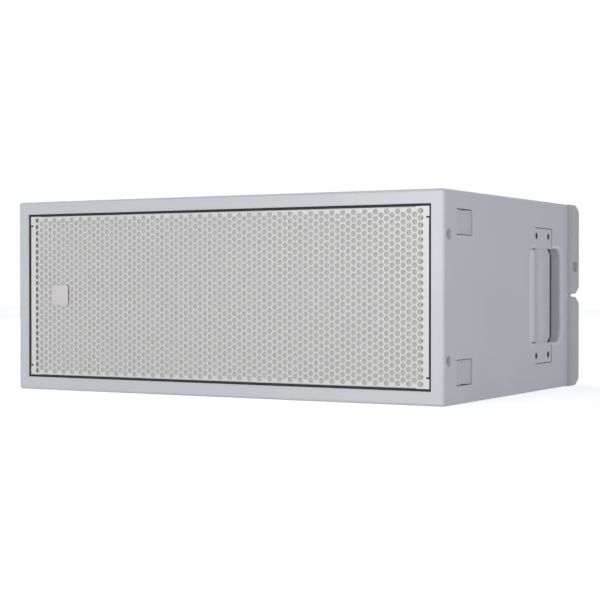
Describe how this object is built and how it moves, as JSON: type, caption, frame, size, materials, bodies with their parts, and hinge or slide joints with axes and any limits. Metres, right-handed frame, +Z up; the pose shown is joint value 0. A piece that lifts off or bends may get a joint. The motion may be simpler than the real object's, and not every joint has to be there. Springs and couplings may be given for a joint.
{
  "type": "line array speaker",
  "caption": "Light grey line array loudspeaker: wide plywood cabinet behind a perforated grille, recessed side handles, pinned front links and a swinging rear link.",
  "frame": {"origin": "on the floor, in the middle of the box that encloses the cabinet and its rear bumpers", "axes": "+X to the right seen from the front, +Y from the grille to the back, +Z up"},
  "size_m": [0.608, 0.4303, 0.24],
  "materials": {
    "painted_plywood": "birch plywood under satin light grey paint",
    "grey_polyurethane": "solid light grey moulded polyurethane",
    "bare_plywood": "unpainted birch plywood",
    "wadding": "polyester wadding",
    "painted_sheet_steel": "steel under satin light grey powder coat",
    "grey_foam": "open-cell light grey foam",
    "black_rubber": "matt black rubber",
    "badge_aluminium": "blank pale plate",
    "blackened_screws": "blackened steel screws",
    "black_abs": "black moulded ABS",
    "ferrite": "dark sintered ferrite",
    "titanium_foil": "titanium foil",
    "zinc_steel": "zinc-plated steel",
    "black_steel_plate": "black powder-coated steel",
    "circuit_board": "green glass-epoxy board",
    "crossover_coils": "lacquered copper coils and film capacitors",
    "cast_aluminium": "cast aluminium, black coated",
    "spider_cloth": "resin-stiffened cotton",
    "paper_cone": "black pressed paper",
    "coil_copper": "enamelled copper winding"
  },
  "bodies": {
    "cabinet": {"top_panel": "painted_plywood", "bottom_panel": "painted_plywood", "side_panel_left": "painted_plywood", "side_panel_right": "painted_plywood", "front_baffle": "bare_plywood", "rear_panel": "painted_plywood", "brace_left": "bare_plywood", "brace_right": "bare_plywood", "acoustic_lining": "wadding", "grille": "painted_sheet_steel", "grille_foam": "grey_foam", "grille_gasket": "black_rubber", "badge_plate": "badge_aluminium", "baffle_screws": "blackened_screws", "waveguide": "black_abs", "compression_driver_magnets": "ferrite", "compression_driver_diaphragms": "titanium_foil", "compression_driver_caps": "black_abs", "handle_screws": "blackened_screws", "pin_bushes": "painted_sheet_steel", "rear_link_bracket": "painted_sheet_steel", "rear_link_pin": "zinc_steel", "rear_screws": "blackened_screws", "grip_trims": "black_rubber", "connector_plate": "black_steel_plate", "through_socket": "black_abs", "input_socket": "black_abs", "crossover_board": "circuit_board", "crossover_parts": "crossover_coils", "woofer_left_basket": "cast_aluminium", "woofer_left_pole_pieces": "zinc_steel", "woofer_left_magnet": "ferrite", "woofer_left_surround": "black_rubber", "woofer_left_spider": "spider_cloth", "handle_cup_left": "painted_sheet_steel", "handle_bar_left": "painted_sheet_steel", "link_channel_left": "black_steel_plate", "rear_bumper_upper_left": "grey_polyurethane", "rear_bumper_lower_left": "grey_polyurethane", "woofer_right_basket": "cast_aluminium", "woofer_right_pole_pieces": "zinc_steel", "woofer_right_magnet": "ferrite", "woofer_right_surround": "black_rubber", "woofer_right_spider": "spider_cloth", "handle_cup_right": "painted_sheet_steel", "handle_bar_right": "painted_sheet_steel", "link_channel_right": "black_steel_plate", "rear_bumper_upper_right": "grey_polyurethane", "rear_bumper_lower_right": "grey_polyurethane"},
    "cone_left": {"woofer_left_cone": "paper_cone", "woofer_left_voice_coil": "coil_copper"},
    "cone_right": {"woofer_right_cone": "paper_cone", "woofer_right_voice_coil": "coil_copper"},
    "front_link_left": {"front_link_left": "zinc_steel"},
    "front_link_right": {"front_link_right": "zinc_steel"},
    "finger_tab_upper_left": {"finger_tab_upper_left": "painted_sheet_steel"},
    "finger_tab_lower_left": {"finger_tab_lower_left": "painted_sheet_steel"},
    "finger_tab_upper_right": {"finger_tab_upper_right": "painted_sheet_steel"},
    "finger_tab_lower_right": {"finger_tab_lower_right": "painted_sheet_steel"},
    "rear_link": {"rear_link_bar": "zinc_steel"}
  },
  "joints": [
    {"name": "cone_left_travel", "type": "slide", "parent": "cabinet", "child": "cone_left", "axis": [0, 1, 0], "range_m": [-0.004, 0.004], "stiffness_N_per_m": 1400, "deforming": ["woofer_left_surround", "woofer_left_spider"]},
    {"name": "cone_right_travel", "type": "slide", "parent": "cabinet", "child": "cone_right", "axis": [0, 1, 0], "range_m": [-0.004, 0.004], "stiffness_N_per_m": 1400, "deforming": ["woofer_right_surround", "woofer_right_spider"]},
    {"name": "front_link_left_slide", "type": "slide", "parent": "cabinet", "child": "front_link_left", "axis": [0, 0, 1], "range_m": [0, 0.1]},
    {"name": "front_link_right_slide", "type": "slide", "parent": "cabinet", "child": "front_link_right", "axis": [0, 0, 1], "range_m": [0, 0.1]},
    {"name": "finger_tab_upper_left_press", "type": "slide", "parent": "cabinet", "child": "finger_tab_upper_left", "axis": [1, 0, 0], "range_m": [0, 0.0032], "stiffness_N_per_m": 600, "springref_m": -0.001},
    {"name": "finger_tab_lower_left_press", "type": "slide", "parent": "cabinet", "child": "finger_tab_lower_left", "axis": [1, 0, 0], "range_m": [0, 0.0032], "stiffness_N_per_m": 600, "springref_m": -0.001},
    {"name": "finger_tab_upper_right_press", "type": "slide", "parent": "cabinet", "child": "finger_tab_upper_right", "axis": [-1, 0, 0], "range_m": [0, 0.0032], "stiffness_N_per_m": 600, "springref_m": -0.001},
    {"name": "finger_tab_lower_right_press", "type": "slide", "parent": "cabinet", "child": "finger_tab_lower_right", "axis": [-1, 0, 0], "range_m": [0, 0.0032], "stiffness_N_per_m": 600, "springref_m": -0.001},
    {"name": "rear_link_swing", "type": "hinge", "parent": "cabinet", "child": "rear_link", "pos_m": [0, 0.198, 0.214], "axis": [1, 0, 0], "range_deg": [0, 180]}
  ]
}
